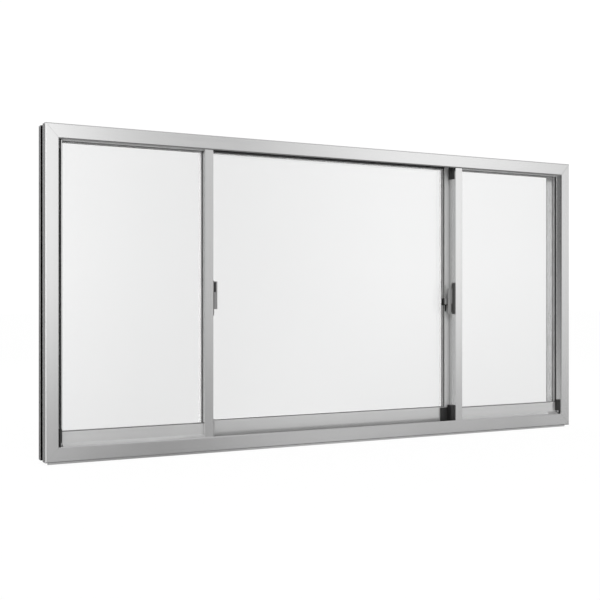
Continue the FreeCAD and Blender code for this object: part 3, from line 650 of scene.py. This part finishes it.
class WINDOW_OT_stage(Operator):
    """Set the pale floor, the soft lights, the world and the camera"""

    bl_idname = "window.stage"
    bl_label = "Stage"

    def execute(self, context):
        scene = context.scene
        mesh = bpy.data.meshes.new("floor")
        mesh.from_pydata([(-FLOOR_REACH, -FLOOR_REACH, 0), (FLOOR_REACH, -FLOOR_REACH, 0),
                          (FLOOR_REACH, FLOOR_REACH, 0), (-FLOOR_REACH, FLOOR_REACH, 0)],
                         [], [(0, 1, 2, 3)])
        floor = bpy.data.objects.new("floor", mesh)
        scene.collection.objects.link(floor)
        material, paint = new_material("pale_floor")
        straight, glazed, mirrored, _ = ray_kinds(paint)
        soft = paint.add("ShaderNodeBsdfDiffuse", None, {"Color": (0.9, 0.9, 0.9, 1.0)})
        white = paint.add("ShaderNodeEmission", None,
                          {"Color": WHITE, "Strength": STUDIO_WHITE})
        clear = paint.add("ShaderNodeBsdfTransparent", None, {"Color": WHITE})
        pale = paint.add("ShaderNodeMixShader", None,
                         {0: straight * FLOOR_SHARE + glazed * (1.0 - FLOOR_SHARE),
                          1: soft, 2: white})
        paint.surface(paint.add("ShaderNodeMixShader", None,
                                {0: mirrored, 1: pale, 2: clear}))
        mesh.materials.append(material)

        world = bpy.data.worlds.new("studio")
        scene.world = world
        paint = Paint(world)
        straight, _, _, behind = ray_kinds(paint)
        x, y, up = paint.split(paint.add("ShaderNodeTexCoord", output="Generated"))
        around = paint.math("ARCTAN2", x, 0.0 - y) / (2 * math.pi) + 0.5
        level = paint.math("ADD", (up - LOW_SINE) / (HIGH_SINE - LOW_SINE), 0.0, clamp=True)
        level = paint.math("POWER", level, RING_BLEND)
        cards = paint.blend(level, studio_cards(paint, around, LOW_CARDS),
                            studio_cards(paint, around, HIGH_CARDS))
        for steep, power in ((up, OVERHEAD_POWER), (0.0 - up, UNDERFOOT_POWER)):
            far = paint.math("ADD", (steep - 0.5) / 0.3, 0.0, clamp=True)
            cards = paint.blend(far, cards, tone(WHITE, power / CARD_POWER))
        lit = paint.add("ShaderNodeBackground", None, {"Color": cards, "Strength": CARD_POWER})
        plain = paint.add("ShaderNodeBackground", None,
                          {"Color": WHITE, "Strength": STUDIO_WHITE})
        through = paint.add("ShaderNodeLightPath", output="Is Transmission Ray")
        behind = behind * (1.0 - abs(through - paint.math("LESS_THAN", y, 0.0)))
        rear = paint.add("ShaderNodeBackground", None,
                         {"Color": WHITE, "Strength": REAR_POWER})
        near = paint.add("ShaderNodeMixShader", None, {0: behind, 1: lit, 2: rear})
        paint.surface(paint.add("ShaderNodeMixShader", None, {0: straight, 1: near, 2: plain}))

        soft_lamp("front_softbox", (-0.6, -3.4, 3.2), (-0.2, 0.0, 0.6), 1.8, 34.0)
        soft_lamp("weather_softbox", (0.6, 3.2, 2.6), (0.0, 0.0, 0.4), 2.0, 24.0)

        lens = bpy.data.cameras.new("camera")
        lens.sensor_width = 36.0
        lens.lens = 60.0
        camera = bpy.data.objects.new("camera", lens)
        camera.location = (-1.5328, -2.7303, 0.4445)
        camera.rotation_euler = (math.pi / 2, 0.0, -math.radians(27.231))
        scene.collection.objects.link(camera)
        scene.camera = camera
        scene.view_settings.view_transform = "Standard"
        return {"FINISHED"}


class WINDOW_PT_panel(Panel):
    """Lists the window's pieces and finishes."""

    bl_idname = "WINDOW_PT_panel"
    bl_label = "Sliding Window"
    bl_space_type = "VIEW_3D"
    bl_region_type = "UI"
    bl_category = "Window"

    def draw(self, context):
        layout = self.layout
        for step in STEPS:
            layout.operator(step.bl_idname)
        for group in (context.scene.window_sizes, context.scene.window_colours):
            for name in group.__annotations__:
                layout.prop(group, name)


STEPS = (
    WINDOW_OT_aluminium,
    WINDOW_OT_glass,
    WINDOW_OT_gaskets,
    WINDOW_OT_plastic,
    WINDOW_OT_latches,
    WINDOW_OT_stage,
)
CLASSES = (WindowSizes, WindowColours, *STEPS, WINDOW_PT_panel)


def register():
    """Register every class and hang the two groups on the scene."""
    for kind in CLASSES:
        bpy.utils.register_class(kind)
    bpy.types.Scene.window_sizes = PointerProperty(type=WindowSizes)
    bpy.types.Scene.window_colours = PointerProperty(type=WindowColours)


def unregister():
    """Take the groups and classes away again."""
    del bpy.types.Scene.window_colours
    del bpy.types.Scene.window_sizes
    for kind in reversed(CLASSES):
        bpy.utils.unregister_class(kind)


def main():
    """Run every step in order."""
    register()
    for step in STEPS:
        group, name = step.bl_idname.split(".")
        getattr(getattr(bpy.ops, group), name)()


if __name__ == "__main__":
    main()
